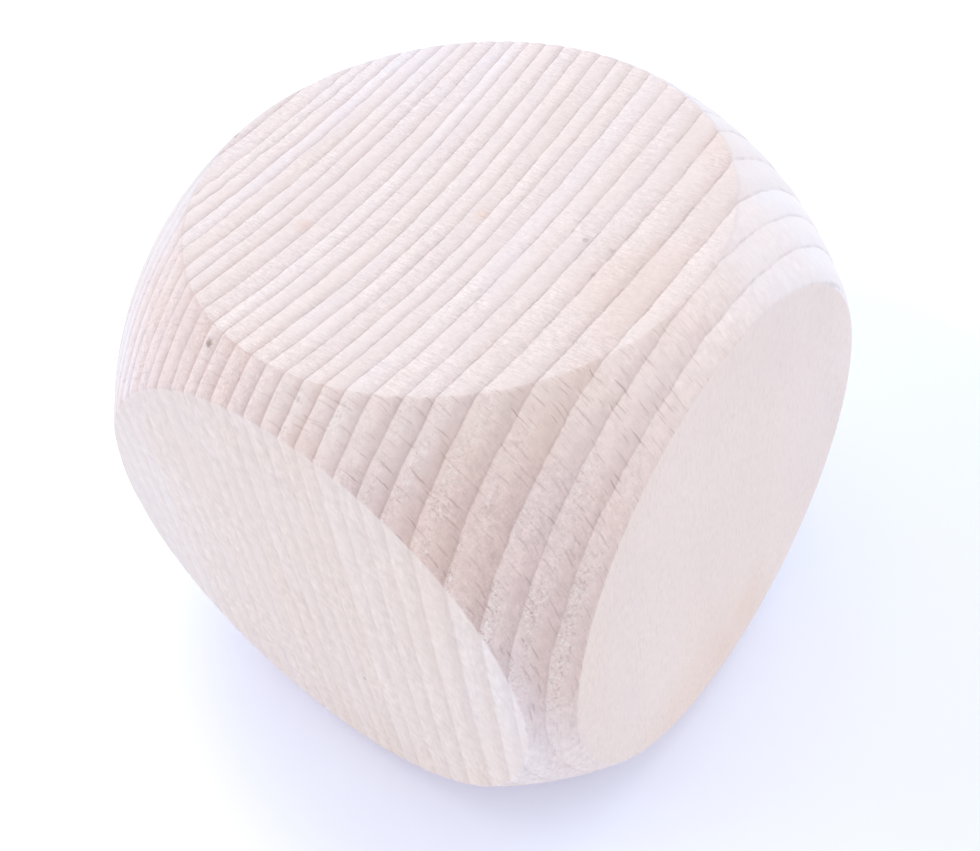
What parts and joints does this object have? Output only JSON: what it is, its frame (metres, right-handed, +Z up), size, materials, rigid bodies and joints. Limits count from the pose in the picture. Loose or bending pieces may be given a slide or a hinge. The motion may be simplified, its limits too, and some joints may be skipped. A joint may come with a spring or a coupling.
{
  "type": "blank wooden die",
  "caption": "Blank cube-shaped wooden die turned to a ball at its corners and edges, with a round flat on each side to rest on.",
  "frame": {"origin": "centre of the round flat that the die stands on", "axes": "+Z up, along the grain of the wood; +X along the growth rings; +Y across the growth rings, towards the side with the narrower rings"},
  "size_m": [0.049, 0.0496, 0.05],
  "materials": {
    "bare_beech": "bare, sanded"
  },
  "bodies": {
    "root": {"die_body": "bare_beech"}
  },
  "joints": []
}
